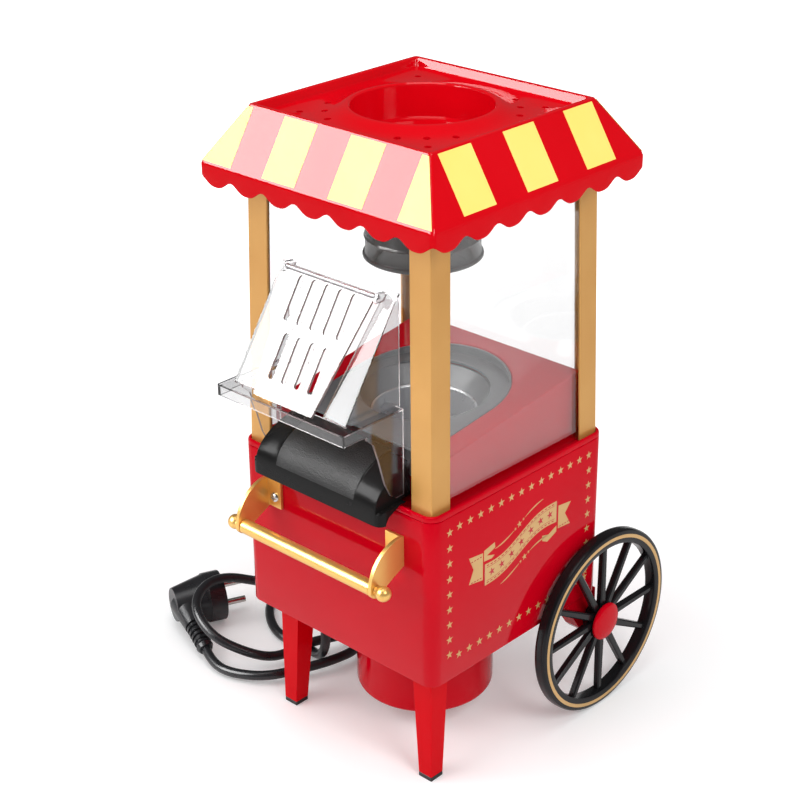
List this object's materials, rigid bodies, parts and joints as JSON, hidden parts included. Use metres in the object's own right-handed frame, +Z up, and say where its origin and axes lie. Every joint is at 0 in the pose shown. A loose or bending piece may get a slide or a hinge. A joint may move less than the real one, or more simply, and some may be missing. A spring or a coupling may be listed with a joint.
{
  "type": "popcorn cart",
  "caption": "Table-top hot-air popcorn cart with a striped lift-off roof, clear house and hood, square base, push handle, front legs and spoked rear wheels.",
  "frame": {"origin": "on the floor at the middle of the cart's box, its mains lead left out", "axes": "+Z up, +X to the cart's right-hand panel, -Y towards the push handle and the chute"},
  "size_m": [0.3036, 0.2672, 0.4226],
  "materials": {
    "glossy_red": "polished moulded plastic",
    "roof_plastic": "polished, with printed stripes",
    "gold_post": "satin gold paint",
    "clear_plastic": "clear polished plastic",
    "black_plastic": "fine-textured",
    "gloss_black": "polished moulded plastic",
    "dark_tray": "satin heat-proof plastic",
    "aluminium": "drawn, satin",
    "zinc_steel": "zinc plated",
    "mica": "mica board",
    "rubber": "matt",
    "rocker_red": "polished",
    "board_green": "lacquered board",
    "cord_sheath": "soft satin sheath",
    "plated_pin": "nickel plated"
  },
  "bodies": {
    "cart": {"base_shell": "glossy_red", "top_tray": "glossy_red", "base_floor": "glossy_red", "floor_screws": "zinc_steel", "post_front_left": "gold_post", "post_front_right": "gold_post", "post_back_left": "gold_post", "post_back_right": "gold_post", "window_left": "clear_plastic", "window_right": "clear_plastic", "window_back": "clear_plastic", "window_front": "clear_plastic", "front_hood": "clear_plastic", "flap_hinge_rod": "zinc_steel", "chute_deck": "black_plastic", "chamber_cover": "glossy_red", "chamber_tray": "dark_tray", "popping_chamber": "aluminium", "heater_duct": "zinc_steel", "heater_frame": "mica", "heating_coil": "zinc_steel", "thermal_cutout": "zinc_steel", "fan_housing": "glossy_red", "fan_motor": "zinc_steel", "motor_bridge": "black_plastic", "leg_front_left": "glossy_red", "leg_front_right": "glossy_red", "foot_pad_left": "rubber", "foot_pad_right": "rubber", "axle_bracket_left": "glossy_red", "axle_bracket_right": "glossy_red", "wheel_axle": "zinc_steel", "axle_washers": "zinc_steel", "handle_bracket_left": "gold_post", "handle_bracket_right": "gold_post", "handle_bar": "gold_post", "handle_finials": "gold_post", "handle_screws": "zinc_steel", "switch_bezel": "black_plastic", "rectifier_board": "board_green", "cord_gland": "black_plastic", "power_cord": "cord_sheath", "plug_body": "cord_sheath", "plug_pins": "plated_pin"},
    "roof": {"roof_canopy": "roof_plastic", "popcorn_deflector": "black_plastic", "deflector_screws": "zinc_steel"},
    "flap": {"hood_flap": "clear_plastic"},
    "wheel_left": {"wheel_left": "gloss_black", "hub_cap_left": "glossy_red"},
    "wheel_right": {"wheel_right": "gloss_black", "hub_cap_right": "glossy_red"},
    "fan": {"fan_impeller": "black_plastic"},
    "rocker": {"switch_rocker": "rocker_red"}
  },
  "joints": [
    {"name": "roof_lift", "type": "slide", "parent": "cart", "child": "roof", "axis": [0, 0, 1], "range_m": [0, 0.09]},
    {"name": "flap_swing", "type": "hinge", "parent": "cart", "child": "flap", "pos_m": [0, -0.08815, 0.3316], "axis": [-1, 0, 0], "range_deg": [0, 70]},
    {"name": "wheel_left_spin", "type": "hinge", "parent": "cart", "child": "wheel_left", "pos_m": [-0.089, 0.06845, 0.0651], "axis": [1, 0, 0], "continuous": true},
    {"name": "wheel_right_spin", "type": "hinge", "parent": "cart", "child": "wheel_right", "pos_m": [0.089, 0.06845, 0.0651], "axis": [1, 0, 0], "continuous": true},
    {"name": "fan_spin", "type": "hinge", "parent": "cart", "child": "fan", "pos_m": [0, -0.00855, 0.049], "axis": [0, 0, 1], "continuous": true},
    {"name": "switch_rock", "type": "hinge", "parent": "cart", "child": "rocker", "pos_m": [-0.038, 0.07095, 0.14], "axis": [-1, 0, 0], "range_deg": [0, 16]}
  ]
}
